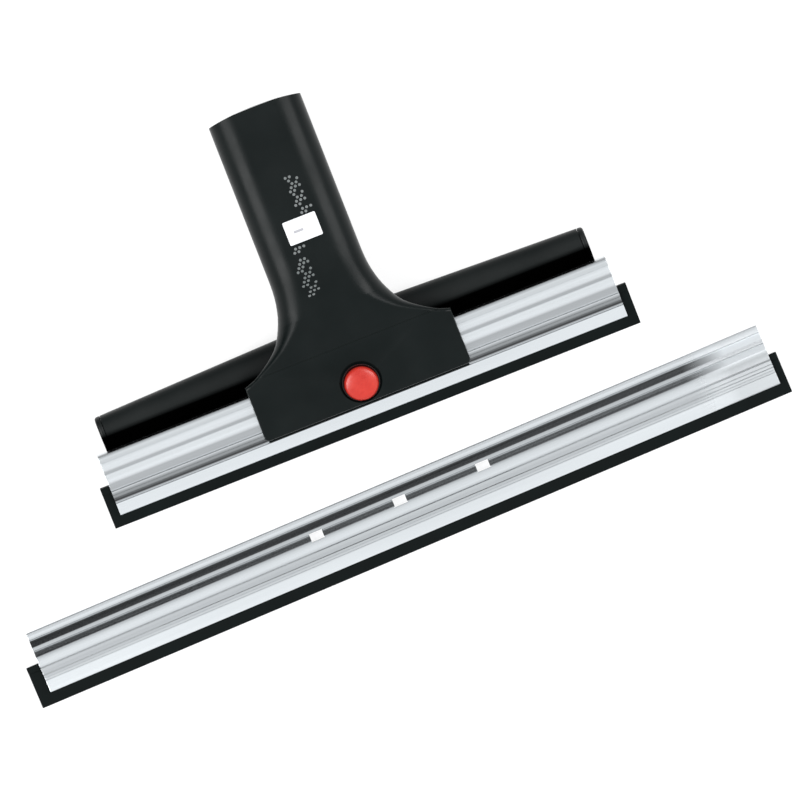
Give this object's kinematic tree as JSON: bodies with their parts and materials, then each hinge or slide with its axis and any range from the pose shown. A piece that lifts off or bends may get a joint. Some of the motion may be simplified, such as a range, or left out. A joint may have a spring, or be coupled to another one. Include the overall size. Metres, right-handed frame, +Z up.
{
  "type": "window cleaning squeegee",
  "caption": "Window squeegee head for a tube handle, with a hollow neck, suction bar, push-button blade latch and a second, wider blade beside it.",
  "frame": {"origin": "centre of the kit's overall box, at table height, with the head and the spare blade lying front up", "axes": "+X along the fitted blade to the right seen from the front, +Y from the blade's edge towards the neck's mouth, +Z up from the table"},
  "size_m": [0.3618, 0.2138, 0.0411],
  "materials": {
    "shell_plastic": "satin moulded",
    "bar_plastic": "satin moulded",
    "rail_aluminium": "bright extruded",
    "blade_rubber": "smooth matt",
    "seal_rubber": "smooth matt",
    "button_red": "gloss",
    "badge_white": "plain printed label",
    "steel": "zinc plated"
  },
  "bodies": {
    "head": {"front_shell": "shell_plastic", "rear_shell": "shell_plastic", "suction_bar": "bar_plastic", "bar_end_cap_left": "bar_plastic", "bar_end_cap_right": "bar_plastic", "rail_guide": "bar_plastic", "socket_seal": "seal_rubber", "badge_plate": "badge_white", "shell_screw_1": "steel", "shell_screw_2": "steel", "shell_screw_3": "steel", "shell_screw_4": "steel", "bar_screw_left": "steel", "bar_screw_right": "steel", "guide_screw_left": "steel", "guide_screw_right": "steel", "latch_clip_left": "steel", "latch_clip_right": "steel", "latch_screw_left": "steel", "latch_screw_right": "steel", "latch_spring": "steel"},
    "button": {"release_button": "button_red"},
    "small_blade": {"small_blade_rail": "rail_aluminium", "small_blade_rubber": "blade_rubber"},
    "wide_blade": {"wide_blade_rail": "rail_aluminium", "wide_blade_rubber": "blade_rubber"}
  },
  "joints": [
    {"name": "button_press", "type": "slide", "parent": "head", "child": "button", "axis": [0, 0.2079, -0.9781], "range_m": [0, 0.0024], "stiffness_N_per_m": 2000, "springref_m": -0.0005, "deforming": ["latch_spring"]},
    {"name": "small_blade_slide", "type": "slide", "parent": "head", "child": "small_blade", "axis": [1, 0, 0], "range_m": [-0.17, 0.17]},
    {"name": "wide_blade_lift", "type": "slide", "parent": "head", "child": "wide_blade", "axis": [0, 0, 1], "range_m": [0, 0.2]}
  ]
}
